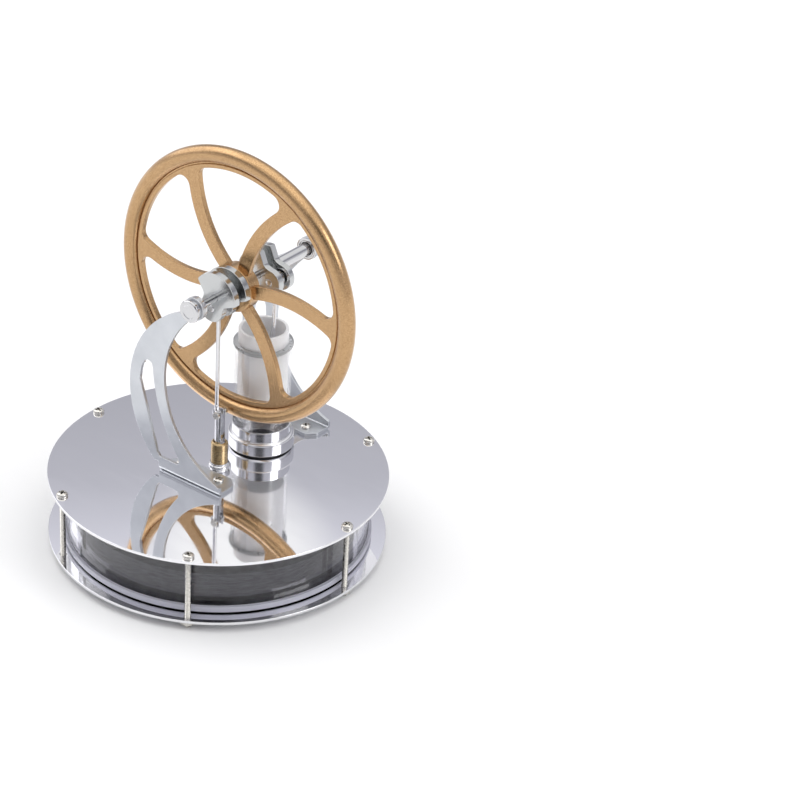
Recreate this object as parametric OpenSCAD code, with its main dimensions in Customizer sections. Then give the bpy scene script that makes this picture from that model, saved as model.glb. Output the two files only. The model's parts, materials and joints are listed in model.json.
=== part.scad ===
// Low-temperature-difference Stirling engine, displacer (gamma) type.
// Two round plates close a clear chamber ring. A foam displacer lifts inside it,
// a glass piston runs beside it, and both are driven by one crankshaft that
// carries a flywheel between two bent sheet brackets.
// Millimetres. +Z is up, the shaft lies along Y at x = 0, the displacer axis is x = y = 0,
// and z = 0 is the plane the six clamp screw tails stand on.

/* [Plates and clamping] */
// Diameter of both plates
plate_d = 92; // [77:0.2:112]
// Thickness of each plate
plate_t = 0.8; // [0.6:0.1:1.2]
// Number of clamp screws round the rim
clamp_count = 6; // [6:1:6]
// Distance of a clamp screw's axis from the plate's edge
clamp_inset = 2.2; // [2:0.1:3]
// Clamp screw thread diameter
clamp_d = 1.6; // [1.4:0.1:2]
// Clamp screw head diameter
clamp_head_d = 3.1; // [2.8:0.1:4]
// Clamp screw head height
clamp_head_h = 1.2; // [0.9:0.1:1.6]
// Clamp nut width across corners
clamp_nut_d = 3.7; // [3.2:0.1:4.2]
// Clamp nut height
clamp_nut_h = 1.3; // [1:0.1:1.8]
// How far the screw tails reach below the bottom plate
tail_h = 2.4; // [1.8:0.1:4]

/* [Chamber] */
// Distance of the clear chamber ring's outside from the plate's edge
ring_inset = 5; // [4.2:0.1:7]
// Wall of the chamber ring
ring_wall = 2.4; // [1.6:0.1:3]
// How far the foot lip of the ring stands out
ring_foot = 1; // [0.5:0.1:1.2]
// Height of the foot lip
ring_foot_h = 1.6; // [1:0.1:2.5]
// Thickness of each gasket
gasket_t = 0.4; // [0.3:0.1:0.8]
// Thickness of the foam displacer
displacer_t = 7; // [5:0.5:9]
// Radial gap between displacer and chamber ring
displacer_gap = 1.2; // [0.8:0.1:2]
// Space under the displacer at its lowest
displacer_low = 2.7; // [2.2:0.1:4]
// Space over the displacer at its highest
displacer_high = 0.3; // [0.3:0.1:1]

/* [Crankshaft] */
// Shaft axis above the top plate
shaft_h = 53.2; // [50:0.02:64]
// Shaft diameter
shaft_d = 2; // [1.6:0.1:2.4]
// Throw of both cranks
throw = 3.8; // [3.2:0.02:4.6]
// Direction of the displacer crank pin at rest, from +X towards +Z
crank_angle = 252; // [252:1:252]
// Crank pin diameter
pin_d = 2; // [1.6:0.1:2.4]
// Thickness of a crank web
web_t = 1.9; // [1.5:0.1:2.2]
// Open gap between the two webs of a crank
web_gap = 2.6; // [2.4:0.1:3.2]
// Radius of the counterweight
web_r = 6.9; // [6:0.1:7.8]
// Radius of the lobe round the crank pin
lobe_r = 3.7; // [3:0.1:4]
// Half the angle that the counterweight spans
web_half_angle = 75; // [65:1:80]
// Play of the shaft in each bearing cup
end_play = 0.2; // [0.1:0.05:0.4]

/* [Flywheel] */
// Flywheel outer diameter
wheel_d = 77.4; // [65:0.1:92]
// Gap between the front crank and the flywheel's hub
hub_gap = 0.45; // [0.3:0.05:1]
// Diameter of the round rim bead
bead_d = 4.6; // [3.6:0.1:5]
// Thickness of spokes and inner ring
spoke_t = 1.6; // [1.2:0.1:2.6]
// Width of a spoke
spoke_w = 3.8; // [3.2:0.1:5.2]
// How far a spoke bows out of straight
spoke_bow = 3.2; // [2:0.1:4]
// Number of spokes
spoke_count = 6; // [5:1:6]
// Turn of the spokes against the crank
spoke_phase = -4; // [-30:1:30]
// Width of the flat ring inside the bead
inner_ring_w = 1.5; // [1:0.1:3.7]
// Corner radius of a window at the rim
window_r = 2.6; // [1.5:0.1:3.2]
// Corner radius of a window at the hub
window_hub_r = 1; // [0.6:0.1:1.4]
// Hub diameter
hub_d = 13; // [11:0.5:14]
// Hub length
hub_l = 4; // [3:0.1:4.4]
// Outer diameter of the brass bush in the hub
wheel_bush_d = 5; // [4:0.1:6]

/* [Brackets and bearings] */
// Sheet thickness of the brackets
sheet_t = 1; // [0.8:0.1:1.2]
// Gap between the front foot's tip and the gland nut
gland_gap = 0.3; // [0.2:0.1:2]
// Gap between the rear foot's tip and the cylinder seat
seat_gap = 1.3; // [0.5:0.1:4]
// Length of a bracket foot, outer face to tip
foot_l = 8.2; // [6:0.1:8.5]
// Left end of a foot
foot_left = 11.6; // [10:0.1:13]
// Right end of a foot
foot_right = 9.6; // [8:0.1:11]
// Corner chamfer of a foot
foot_chamfer = 2.4; // [1:0.1:3]
// How far the outer edge of an arm bulges
arm_bulge = 22; // [20:0.1:24]
// Height of the widest point of an arm, as a share of the shaft's height
arm_bulge_at = 0.45; // [0.42:0.01:0.48]
// How far the inner edge of an arm bulges
arm_inner = 10; // [9:0.1:11]
// Height of the deepest point of the inner edge, as the same share
arm_inner_at = 0.55; // [0.53:0.01:0.58]
// Height of a bracket above which its arm starts
foot_h = 2.6; // [2.4:0.1:3]
// Distance of the foot screws from the bracket's outer face
foot_screw_in = 5.2; // [4.6:0.1:5.6]
// Left foot screw from the shaft's plane
foot_screw_left = 8; // [7:0.1:8.5]
// Right foot screw from the shaft's plane
foot_screw_right = 5; // [4:0.1:6.5]
// Outer diameter of the miniature bearings
bearing_d = 4.6; // [4.4:0.02:5.6]
// Width of a bearing
bearing_w = 2; // [1.6:0.1:2.4]
// Wall of a bearing cup
cup_wall = 0.35; // [0.3:0.05:0.5]
// Thickness of a bearing's races
race_wall = 0.3; // [0.2:0.05:0.4]
// Clearance of a ball between its races
ball_fit = 0.05; // [0.03:0.01:0.08]
// Number of balls in a bearing
ball_count = 8; // [6:1:8]
// End wall of a bearing cup
cup_end_t = 0.6; // [0.4:0.1:0.8]
// How far a cup's flanges stand out
cup_flange_w = 0.45; // [0.3:0.05:0.8]
// Thickness of a cup flange
cup_flange_t = 0.8; // [0.5:0.1:1]
// How far a cup stands out of its bracket
cup_out = 2.1; // [1.8:0.1:2.6]
// Outer diameter of the spacer sleeve behind the rear crank
spacer_d = 3.5; // [3:0.1:4]
// Thread diameter of the bracket screws
bracket_screw_d = 1.6; // [1.4:0.1:2]
// Head diameter of the bracket screws
bracket_head_d = 2.9; // [2.6:0.1:3.4]
// Head height of the bracket screws
bracket_head_h = 0.9; // [0.6:0.1:1.2]

/* [Displacer drive] */
// Outer diameter of the brass guide bush
bush_d = 4.6; // [4.2:0.1:5.2]
// Height of the guide bush above the top plate
bush_h = 8.6; // [7:0.1:10]
// Flange diameter of the gland nut
gland_d = 5.8; // [5.4:0.1:7]
// Height of the gland nut
gland_h = 2.3; // [1.8:0.1:3]
// Displacer rod diameter
rod_d = 2.8; // [2.6:0.1:3.4]
// Slot in the top of the displacer rod
rod_slot = 1.7; // [1.6:0.1:1.8]
// Fork pivot above the guide bush with the displacer at its lowest
pivot_up = 8.25; // [7:0.05:9]
// Diameter of the fork screw
fork_screw_d = 0.9; // [0.8:0.1:1]
// Head diameter of the fork screw
fork_head_d = 2; // [1.6:0.1:2.4]
// Diameter of the thread at the foot of the displacer rod
rod_thread_d = 1.6; // [1.4:0.1:2]
// Height of the fork above its pivot
fork_over_pivot = 1.2; // [1:0.1:1.6]
// Diameter of the washers that hold the foam
washer_d = 6.4; // [5.4:0.2:8]
// Thickness of those washers
washer_t = 0.4; // [0.3:0.1:0.6]
// Height of the displacer nut
rod_nut_h = 1.2; // [0.9:0.1:1.6]

/* [Power piston] */
// Bore of the glass cylinder
bore_d = 13.7; // [12.5:0.02:16.5]
// Wall of the glass cylinder
glass_wall = 0.9; // [0.7:0.1:1.4]
// Gap between the flywheel's bead and the lip of the glass
glass_gap = 1.5; // [1:0.1:4]
// Top of the glass above the top plate
glass_top = 32.2; // [28:0.1:34]
// How far the ground lip of the glass stands out
glass_lip = 0.4; // [0.2:0.1:0.6]
// Height of the lip
glass_lip_h = 0.9; // [0.6:0.1:1.5]
// How far the seat's flange stands out past its neck
seat_flange_w = 0.95; // [0.8:0.05:1.6]
// Height of the seat's flange
seat_flange_h = 4.2; // [3:0.1:5]
// Height of the whole seat
seat_h = 7.6; // [6.5:0.1:9]
// Wall of the seat's neck round the glass
seat_wall = 0.5; // [0.4:0.1:0.7]
// Floor of the seat under the glass
seat_floor = 1.4; // [1:0.1:2]
// Diameter of the air port under the cylinder
port_d = 9; // [6:0.5:9.5]
// Wall of the piston
piston_wall = 0.9; // [0.7:0.1:1]
// Length of the piston
piston_l = 24; // [22:0.5:26]
// How far the piston stands out of the glass at rest
piston_proud = 4; // [3.5:0.1:5]
// Top of the piston above its wrist pin
piston_over_pin = 10.2; // [8:0.1:11]
// Floor of the piston
piston_floor = 1.6; // [1:0.1:2]
// Thickness of each clevis plate
clevis_plate_t = 0.9; // [0.7:0.1:1.2]
// Width of the clevis
clevis_w = 3.4; // [2.8:0.1:4]
// Height of the clevis base
clevis_base_h = 0.8; // [0.6:0.1:1.2]
// Sideways lean of the piston conrod
piston_link_lean = 0.6; // [0.4:0.1:0.8]

/* [Conrods] */
// Diameter of the conrod wire
wire_d = 1.1; // [0.9:0.1:1.1]
// Diameter of a conrod's big end
big_end_d = 4.6; // [4.2:0.1:5]
// Thickness of a big end
big_end_t = 1.6; // [1.4:0.1:1.8]
// Wall of the bush in a big end
rod_bush_wall = 0.4; // [0.3:0.1:0.5]
// Diameter of a small end eye
eye_d = 2.4; // [2.2:0.1:2.4]
// Thickness of a small end eye
eye_t = 1; // [0.9:0.1:1.1]

/* [Fits] */
// Radial clearance of a part that turns or slides on another
run_fit = 0.05; // [0.03:0.01:0.08]
// Radial clearance of a clamp screw in its plate hole
screw_fit = 0.1; // [0.1:0.05:0.2]
// Side gap where a linkage is left open
open_gap = 0.3; // [0.3:0.05:0.35]

/* [Hidden] */
$fn = 96;

// heights, from the foot plane up
bottom_z = tail_h;
floor_z = bottom_z + plate_t;
chamber_h = displacer_low + displacer_t + 2 * throw + displacer_high;
ceiling_z = floor_z + chamber_h;
top_z = ceiling_z + plate_t;
shaft_z = top_z + shaft_h;

// rest positions of the two crank pins and of what hangs on them
piston_angle = crank_angle + 90;
displacer_pin = [throw * cos(crank_angle), shaft_z + throw * sin(crank_angle)];
piston_pin = [throw * cos(piston_angle), shaft_z + throw * sin(piston_angle)];
displacer_lift = throw + throw * sin(crank_angle);
displacer_z = floor_z + displacer_low + displacer_lift;
pivot_z = top_z + bush_h + pivot_up + displacer_lift;
piston_top = top_z + glass_top + piston_proud;
piston_bottom = piston_top - piston_l;
wrist_z = piston_top - piston_over_pin;
wrist_x = piston_pin[0] - piston_link_lean;

// shared radii
ring_r = plate_d / 2 - ring_inset;
ring_bore_r = ring_r - ring_wall;
clamp_ring_r = plate_d / 2 - clamp_inset;
shaft_r = shaft_d / 2;
pin_r = pin_d / 2;
bush_r = bush_d / 2;
cup_r = bearing_d / 2 + cup_wall;
cup_flange_r = cup_r + cup_flange_w;
bore_r = bore_d / 2;
glass_r = bore_r + glass_wall;
seat_neck_r = glass_r + seat_wall;
seat_r = seat_neck_r + seat_flange_w;
piston_r = bore_r - run_fit;
piston_inner_r = piston_r - piston_wall;
rod_r = rod_d / 2;
wire_r = wire_d / 2;
bead_r = bead_d / 2;
crank_half = web_gap / 2 + web_t;

// places along the shaft, from front to back
front_y = gland_d / 2 + gland_gap + foot_l;
wheel_y = crank_half + hub_gap + hub_l / 2;
cylinder_y = wheel_y + bead_r + glass_gap + glass_r + glass_lip;
rear_y = cylinder_y + seat_r + seat_gap + foot_l;

// ---------- helpers ----------

// A flat outline in x and z, given thickness along +Y from y0
module upright(y0, thick) {
    translate([0, y0 + thick, 0])
        rotate([90, 0, 0])
            linear_extrude(thick)
                children();
}

// A round bar along Y, centred on [x, z]
module bar_y(y0, y1, r, at) {
    upright(y0, y1 - y0) translate(at) circle(r);
}

// A ring along Y
module ring_y(y0, y1, r_out, r_in, at) {
    upright(y0, y1 - y0) translate(at) difference() {
        circle(r_out);
        circle(r_in);
    }
}

// A tube along Z
module tube_z(z0, h, r_out, r_in) {
    translate([0, 0, z0]) difference() {
        cylinder(h = h, r = r_out);
        translate([0, 0, -1]) cylinder(h = h + 2, r = r_in);
    }
}

// Copies round the clamp circle
module at_clamps() {
    for (i = [0 : clamp_count - 1])
        rotate([0, 0, i * 360 / clamp_count])
            translate([clamp_ring_r, 0, 0])
                children();
}

// Points of an arc about c, from angle a0 to a1
function arc(c, r, a0, a1, n) =
    [for (i = [0 : n]) c + r * [cos(a0 + (a1 - a0) * i / n), sin(a0 + (a1 - a0) * i / n)]];

// Direction from one point to another, in degrees
function heading(from, to) = atan2(to[1] - from[1], to[0] - from[0]);

// The same direction as a, one turn up or down so that it lies past start
function after(start, a) = a < start ? after(start, a + 360) : a;
function before(start, a) = a > start ? before(start, a - 360) : a;

// Where two circles cross; side picks which of the two points
function meet(c1, r1, c2, r2, side) =
    let (
        d = norm(c2 - c1),
        along = (d * d + r1 * r1 - r2 * r2) / (2 * d),
        off = sqrt(r1 * r1 - along * along),
        u = (c2 - c1) / d
    )
    c1 + along * u + side * off * [-u[1], u[0]];

// Centre of the circle through three points
function centre_of(a, b, c) =
    let (
        d = 2 * (a[0] * (b[1] - c[1]) + b[0] * (c[1] - a[1]) + c[0] * (a[1] - b[1])),
        x = (a * a) * (b[1] - c[1]) + (b * b) * (c[1] - a[1]) + (c * c) * (a[1] - b[1]),
        y = (a * a) * (c[0] - b[0]) + (b * b) * (a[0] - c[0]) + (c * c) * (b[0] - a[0])
    )
    [x / d, y / d];

// A disc whose edge passes through three points
module disc_through(a, b, c) {
    m = centre_of(a, b, c);
    translate(m) circle(norm(a - m), $fn = 180);
}

// Round the corner at b between a and c
function rounded(a, b, c, r, n = 6) =
    let (
        u = (a - b) / norm(a - b),
        w = (c - b) / norm(c - b),
        half = acos(u * w) / 2,
        m = (u + w) / norm(u + w),
        o = b + m * r / sin(half),
        a0 = heading(o, b + u * r / tan(half)),
        raw = heading(o, b + w * r / tan(half)) - a0,
        turn = raw > 180 ? raw - 360 : raw < -180 ? raw + 360 : raw
    )
    arc(o, r, a0, a0 + turn, n);

// A pan head with a cross recess, standing on z = 0
module pan_head(d, h, slot_w) {
    crown_drop = d * 0.62;
    slot_l = d * 0.64;
    slot_floor = h * 0.45;
    difference() {
        rotate_extrude() intersection() {
            square([d / 2, h]);
            translate([0, -crown_drop]) circle(crown_drop + h, $fn = 120);
        }
        for (a = [0, 90])
            rotate([0, 0, a])
                translate([-slot_l / 2, -slot_w / 2, slot_floor])
                    cube([slot_l, slot_w, h]);
    }
}

// ---------- plates and chamber ----------

module plate_blank(z0) {
    difference() {
        translate([0, 0, z0]) cylinder(h = plate_t, r = plate_d / 2, $fn = 240);
        at_clamps()
            translate([0, 0, z0 - 1])
                cylinder(h = plate_t + 2, r = clamp_d / 2 + screw_fit);
    }
}

module bottom_plate() {
    color("silver") plate_blank(bottom_z);
}

module top_plate() {
    color("silver") difference() {
        plate_blank(ceiling_z);
        translate([0, 0, ceiling_z - 1]) cylinder(h = plate_t + 2, r = bush_r);
        translate([0, cylinder_y, ceiling_z - 1]) cylinder(h = plate_t + 2, r = port_d / 2);
        at_bracket_screws()
            translate([0, 0, ceiling_z - 1]) cylinder(h = plate_t + 2, r = bracket_screw_d / 2);
    }
}

module chamber_ring() {
    z0 = floor_z + gasket_t;
    h = chamber_h - 2 * gasket_t;
    color([0.85, 0.9, 0.95, 0.4]) difference() {
        union() {
            translate([0, 0, z0]) cylinder(h = h, r = ring_r, $fn = 240);
            translate([0, 0, z0]) cylinder(h = ring_foot_h, r = ring_r + ring_foot, $fn = 240);
        }
        translate([0, 0, z0 - 1]) cylinder(h = h + 2, r = ring_bore_r, $fn = 240);
    }
}

module lower_gasket() {
    color("dimgray") tube_z(floor_z, gasket_t, ring_r, ring_bore_r);
}

module upper_gasket() {
    color("dimgray") tube_z(ceiling_z - gasket_t, gasket_t, ring_r, ring_bore_r);
}

module clamp_screws() {
    color("gainsboro") at_clamps() {
        cylinder(h = top_z, r = clamp_d / 2);
        translate([0, 0, top_z]) pan_head(clamp_head_d, clamp_head_h, 0.5);
    }
}

module clamp_nuts() {
    color("gainsboro") at_clamps() difference() {
        translate([0, 0, bottom_z - clamp_nut_h])
            cylinder(h = clamp_nut_h, r = clamp_nut_d / 2, $fn = 6);
        translate([0, 0, -1]) cylinder(h = bottom_z + 2, r = clamp_d / 2);
    }
}

// ---------- displacer gland ----------

module guide_bush() {
    edge = 0.35;
    bore = rod_r + run_fit;
    h = plate_t + bush_h;
    color("darkgoldenrod") translate([0, 0, ceiling_z]) rotate_extrude()
        polygon([
            [bore, 0], [bush_r, 0], [bush_r, h - edge], [bush_r - edge, h], [bore, h]
        ]);
}

module gland_nut() {
    r = gland_d / 2;
    waist = bush_r + 0.25;
    rib = waist + 0.2;
    flange_h = gland_h * 0.4;
    cone_h = gland_h * 0.55;
    rib_low = gland_h * 0.75;
    rib_high = gland_h * 0.95;
    slope = gland_h * 0.05;
    color("silver") translate([0, 0, top_z]) rotate_extrude()
        polygon([
            [bush_r, 0], [r, 0], [r, flange_h], [waist, cone_h], [waist, rib_low],
            [rib, rib_low + slope], [rib, rib_high], [waist, gland_h], [bush_r, gland_h]
        ]);
}

// ---------- power cylinder ----------

module cylinder_gasket() {
    color("dimgray") translate([0, cylinder_y, 0])
        tube_z(top_z, gasket_t, seat_neck_r, port_d / 2);
}

module cylinder_seat() {
    z0 = top_z + gasket_t;
    h = seat_h - gasket_t;
    edge = 0.5;
    lip = 0.3;
    crown = seat_flange_w * 0.8;
    fillet = seat_flange_w * 0.15;
    color("silver") translate([0, cylinder_y, z0]) rotate_extrude()
        polygon(concat(
            [[port_d / 2, 0], [seat_r - edge, 0], [seat_r, edge]],
            rounded([seat_r, edge], [seat_r, seat_flange_h], [seat_neck_r, seat_flange_h], crown),
            rounded([seat_r, seat_flange_h], [seat_neck_r, seat_flange_h], [seat_neck_r, h], fillet),
            [[seat_neck_r, h - lip], [seat_neck_r - lip, h], [glass_r, h], [glass_r, seat_floor],
             [port_d / 2, seat_floor]]
        ));
}

module glass_cylinder() {
    z0 = top_z + gasket_t + seat_floor;
    z1 = top_z + glass_top;
    lip_r = glass_r + glass_lip;
    lip_z = z1 - glass_lip_h;
    color([0.8, 0.9, 1, 0.4]) translate([0, cylinder_y, 0]) rotate_extrude()
        polygon([
            [bore_r, z0], [glass_r, z0], [glass_r, lip_z - glass_lip], [lip_r, lip_z],
            [lip_r, z1], [bore_r, z1]
        ]);
}

// ---------- brackets ----------

// The folded foot, seen from the side, is a rounded L
module foot_profile() {
    bend_in = 0.4;
    bend_out = bend_in + sheet_t;
    polygon(concat(
        [[0, foot_h]],
        rounded([0, foot_h], [0, 0], [foot_l, 0], bend_out),
        [[foot_l, 0], [foot_l, sheet_t]],
        rounded([foot_l, sheet_t], [sheet_t, sheet_t], [sheet_t, foot_h], bend_in),
        [[sheet_t, foot_h]]
    ));
}

// The C of an arm: one disc less another, with a round boss at the bearing
module arm_outline() {
    boss_r = cup_flange_r + 0.1;
    bulge_z = arm_bulge_at * shaft_h;
    inner_z = arm_inner_at * shaft_h;
    left = arm_bulge + 1;
    difference() {
        union() {
            intersection() {
                difference() {
                    disc_through([-3.4, shaft_h - 2], [-arm_bulge, bulge_z], [-foot_left, 1]);
                    disc_through(
                        [-1.8, shaft_h - 4.3], [-arm_inner, inner_z], [foot_right - 0.4, foot_h]
                    );
                }
                union() {
                    translate([-left, foot_h]) square([left + foot_right, inner_z - foot_h]);
                    translate([-left, foot_h]) square([left - 0.5, shaft_h - foot_h]);
                }
            }
            translate([0, shaft_h]) circle(boss_r);
        }
        arm_slot();
        translate([0, shaft_h]) circle(cup_r);
    }
}

// The long window of an arm: the space between two arcs, closed by a round top
module arm_slot() {
    end_r = 1.55;
    corner_r = 0.8;
    low = foot_h + 1.6;
    top = [-15.5, 0.58 * shaft_h];
    intersection() {
        difference() {
            disc_through([-17, 0.605 * shaft_h], [-18.6, 0.43 * shaft_h], [-11, 3.8]);
            disc_through([-13.9, 0.611 * shaft_h], [-11.2, 0.336 * shaft_h], [-4.5, 5.8]);
        }
        polygon(concat(
            [[-20, top[1]]],
            rounded([-20, top[1]], [-12, low], [0, low], corner_r),
            rounded([-12, low], [-4.6, low], [-4, top[1]], corner_r),
            [[-10, top[1]]]
        ));
    }
    translate(top) circle(end_r);
}

// Both brackets fold inwards: outer face at y = 0, foot towards +Y, underside at z = 0
module bracket() {
    difference() {
        union() {
            upright(0, sheet_t) arm_outline();
            translate([-foot_left, 0, 0])
                rotate([90, 0, 90])
                    linear_extrude(foot_left + foot_right)
                        foot_profile();
        }
        for (side = [[-foot_left, 1], [foot_right, -1]])
            translate([side[0], foot_l, -1])
                linear_extrude(sheet_t + 2)
                    polygon([
                        [-side[1], -foot_chamfer], [0, -foot_chamfer],
                        [side[1] * foot_chamfer, 0], [side[1] * foot_chamfer, 1],
                        [-side[1], 1]
                    ]);
        for (x = [-foot_screw_left, foot_screw_right])
            translate([x, foot_screw_in, -1]) cylinder(h = sheet_t + 2, r = bracket_screw_d / 2);
    }
}

module at_bracket_screws() {
    for (x = [-foot_screw_left, foot_screw_right]) {
        translate([x, -front_y + foot_screw_in, 0]) children();
        translate([x, rear_y - foot_screw_in, 0]) children();
    }
}

module front_bracket() {
    color("lightsteelblue") translate([0, -front_y, top_z]) bracket();
}

module rear_bracket() {
    color("lightsteelblue") translate([0, rear_y, top_z]) mirror([0, 1, 0]) bracket();
}

module bracket_screws() {
    color("gainsboro") at_bracket_screws() {
        translate([0, 0, ceiling_z]) cylinder(h = plate_t + sheet_t, r = bracket_screw_d / 2);
        translate([0, 0, top_z + sheet_t]) pan_head(bracket_head_d, bracket_head_h, 0.45);
    }
}

// ---------- bearings ----------

// length of a bearing cup from its outer face to its inner face, and where its bearing starts
cup_l = cup_out + sheet_t + cup_flange_t;
bearing_y = cup_l - 0.3 - bearing_w;
// the balls fill the space between the races, less their clearance
ball_r = (bearing_d / 2 - shaft_r) / 2 - race_wall - ball_fit;
ball_pitch_r = (bearing_d / 2 + shaft_r) / 2;

// A cup in its own frame: outer face at y = 0, open towards +Y
module bearing_cup() {
    r = bearing_d / 2;
    dimple_r = r - 0.3;
    dimple_depth = 0.15;
    difference() {
        union() {
            bar_y(0, cup_l, cup_r, [0, 0]);
            bar_y(0, cup_flange_t, cup_flange_r, [0, 0]);
            bar_y(cup_out + sheet_t, cup_l, cup_flange_r, [0, 0]);
        }
        bar_y(cup_end_t, cup_l + 1, r, [0, 0]);
        bar_y(-1, dimple_depth, dimple_r, [0, 0]);
    }
}

module at_front_bearing() {
    translate([0, -front_y - cup_out, shaft_z]) children();
}

module at_rear_bearing() {
    translate([0, rear_y + cup_out, shaft_z]) mirror([0, 1, 0]) children();
}

module front_bearing_cup() {
    color("silver") at_front_bearing() bearing_cup();
}

module rear_bearing_cup() {
    color("silver") at_rear_bearing() bearing_cup();
}

module bearing_outer_races() {
    color("gainsboro") {
        at_front_bearing() outer_race();
        at_rear_bearing() outer_race();
    }
}

module outer_race() {
    r = bearing_d / 2;
    ring_y(bearing_y, bearing_y + bearing_w, r, r - race_wall, [0, 0]);
}

module bearing_inner_races() {
    color("gainsboro") {
        at_front_bearing() inner_race();
        at_rear_bearing() inner_race();
    }
}

module inner_race() {
    ring_y(bearing_y, bearing_y + bearing_w, shaft_r + race_wall, shaft_r, [0, 0]);
}

module bearing_balls() {
    color("gainsboro") {
        at_front_bearing() ball_ring();
        at_rear_bearing() ball_ring();
    }
}

module ball_ring() {
    for (i = [0 : ball_count - 1])
        rotate([0, i * 360 / ball_count, 0])
            translate([ball_pitch_r, bearing_y + bearing_w / 2, 0])
                sphere(ball_r, $fn = 24);
}

// ---------- crankshaft ----------

shaft_front_end = -front_y - cup_out + cup_end_t + end_play;
shaft_rear_end = rear_y + cup_out - cup_end_t - end_play;

module front_shaft() {
    color("silver") bar_y(shaft_front_end, -web_gap / 2, shaft_r, [0, shaft_z]);
}

module middle_shaft() {
    color("silver") bar_y(web_gap / 2, cylinder_y - web_gap / 2, shaft_r, [0, shaft_z]);
}

module rear_shaft() {
    color("silver") bar_y(cylinder_y + web_gap / 2, shaft_rear_end, shaft_r, [0, shaft_z]);
}

module shaft_spacer() {
    y1 = rear_y + cup_out - bearing_y - bearing_w;
    color("silver") ring_y(cylinder_y + crank_half, y1, spacer_d / 2, shaft_r, [0, shaft_z]);
}

// A crank web in its own frame: shaft at the origin, lobe towards +X
module web_outline() {
    neck = lobe_r - 0.15;
    waist_r = 1.4;
    tip = web_r * [-cos(web_half_angle), sin(web_half_angle)];
    waist = [lobe_r * 0.25, neck];
    past_tip = tip + (tip - waist) * 0.5;
    upper = concat([past_tip], rounded(past_tip, waist, [throw, neck], waist_r), [[throw, neck]]);
    lower = [for (i = [len(upper) - 1 : -1 : 0]) [upper[i][0], -upper[i][1]]];
    difference() {
        union() {
            translate([throw, 0]) circle(lobe_r);
            intersection() {
                circle(web_r);
                polygon(concat(upper, lower, [[-2 * web_r, -2 * web_r], [-2 * web_r, 2 * web_r]]));
            }
        }
        circle(shaft_r);
        translate([throw, 0]) circle(pin_r);
    }
}

module crank_web(y0, angle) {
    color("silver") upright(y0, web_t)
        translate([0, shaft_z])
            rotate(angle)
                web_outline();
}

module displacer_crank_front_web() {
    crank_web(-crank_half, crank_angle);
}

module displacer_crank_rear_web() {
    crank_web(web_gap / 2, crank_angle);
}

module displacer_crank_pin() {
    color("gray") bar_y(-crank_half, crank_half, pin_r, displacer_pin);
}

module piston_crank_front_web() {
    crank_web(cylinder_y - crank_half, piston_angle);
}

module piston_crank_rear_web() {
    crank_web(cylinder_y + web_gap / 2, piston_angle);
}

module piston_crank_pin() {
    color("gray") bar_y(cylinder_y - crank_half, cylinder_y + crank_half, pin_r, piston_pin);
}

// ---------- flywheel ----------

bead_ring_r = wheel_d / 2 - bead_r;
ring_inner_r = bead_ring_r - bead_r - inner_ring_w;
// a spoke is an arc from near the hub to the inner ring
spoke_root = 4;
spoke_span = ring_inner_r + 1 - spoke_root;
spoke_arc_r = (spoke_span * spoke_span / 4 + spoke_bow * spoke_bow) / (2 * spoke_bow);
spoke_centre = [spoke_root + spoke_span / 2, spoke_bow - spoke_arc_r];

function turned(p, a) = [p[0] * cos(a) - p[1] * sin(a), p[0] * sin(a) + p[1] * cos(a)];

// One window between two spokes, with rounded corners
module window_outline() {
    s0 = spoke_centre;
    s1 = turned(spoke_centre, 360 / spoke_count);
    r0 = spoke_arc_r + spoke_w / 2;
    r1 = spoke_arc_r - spoke_w / 2;
    o = [0, 0];
    rim_r = ring_inner_r - window_r;
    a = meet(o, rim_r, s0, r0 + window_r, 1);
    b = meet(o, rim_r, s1, r1 - window_r, 1);
    c = meet(s0, r0 + window_hub_r, s1, r1 - window_hub_r, 1);
    rim_a = heading(o, a);
    rim_b = after(rim_a, heading(o, b));
    side_b = after(rim_b, heading(s1, b));
    side_c = after(side_b, heading(s1, c));
    hub_c = after(side_c, heading(c, s0));
    back_c = heading(s0, c);
    back_a = before(back_c, heading(s0, a));
    end_a = heading(a, s0);
    polygon(concat(
        arc(o, ring_inner_r, rim_a, rim_b, 16),
        arc(b, window_r, rim_b, side_b, 6),
        arc(s1, r1, side_b, side_c, 12),
        arc(c, window_hub_r, side_c, hub_c, 8),
        arc(s0, r0, back_c, back_a, 12),
        arc(a, window_r, end_a, after(end_a, rim_a), 8)
    ));
}

module flywheel() {
    color("peru") translate([0, wheel_y, shaft_z]) difference() {
        union() {
            rotate([90, 0, 0])
                rotate_extrude($fn = 180)
                    translate([bead_ring_r, 0])
                        circle(bead_r, $fn = 48);
            // the flat plate of spokes and inner ring
            upright(-spoke_t / 2, spoke_t) difference() {
                circle(bead_ring_r, $fn = 180);
                for (i = [0 : spoke_count - 1])
                    rotate(spoke_phase + i * 360 / spoke_count)
                        window_outline();
            }
            bar_y(-hub_l / 2, hub_l / 2, hub_d / 2, [0, 0]);
        }
        bar_y(-hub_l, hub_l, wheel_bush_d / 2, [0, 0]);
    }
}

module flywheel_bush() {
    color("goldenrod")
        ring_y(wheel_y - hub_l / 2, wheel_y + hub_l / 2, wheel_bush_d / 2, shaft_r, [0, shaft_z]);
}

// ---------- conrods ----------

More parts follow.
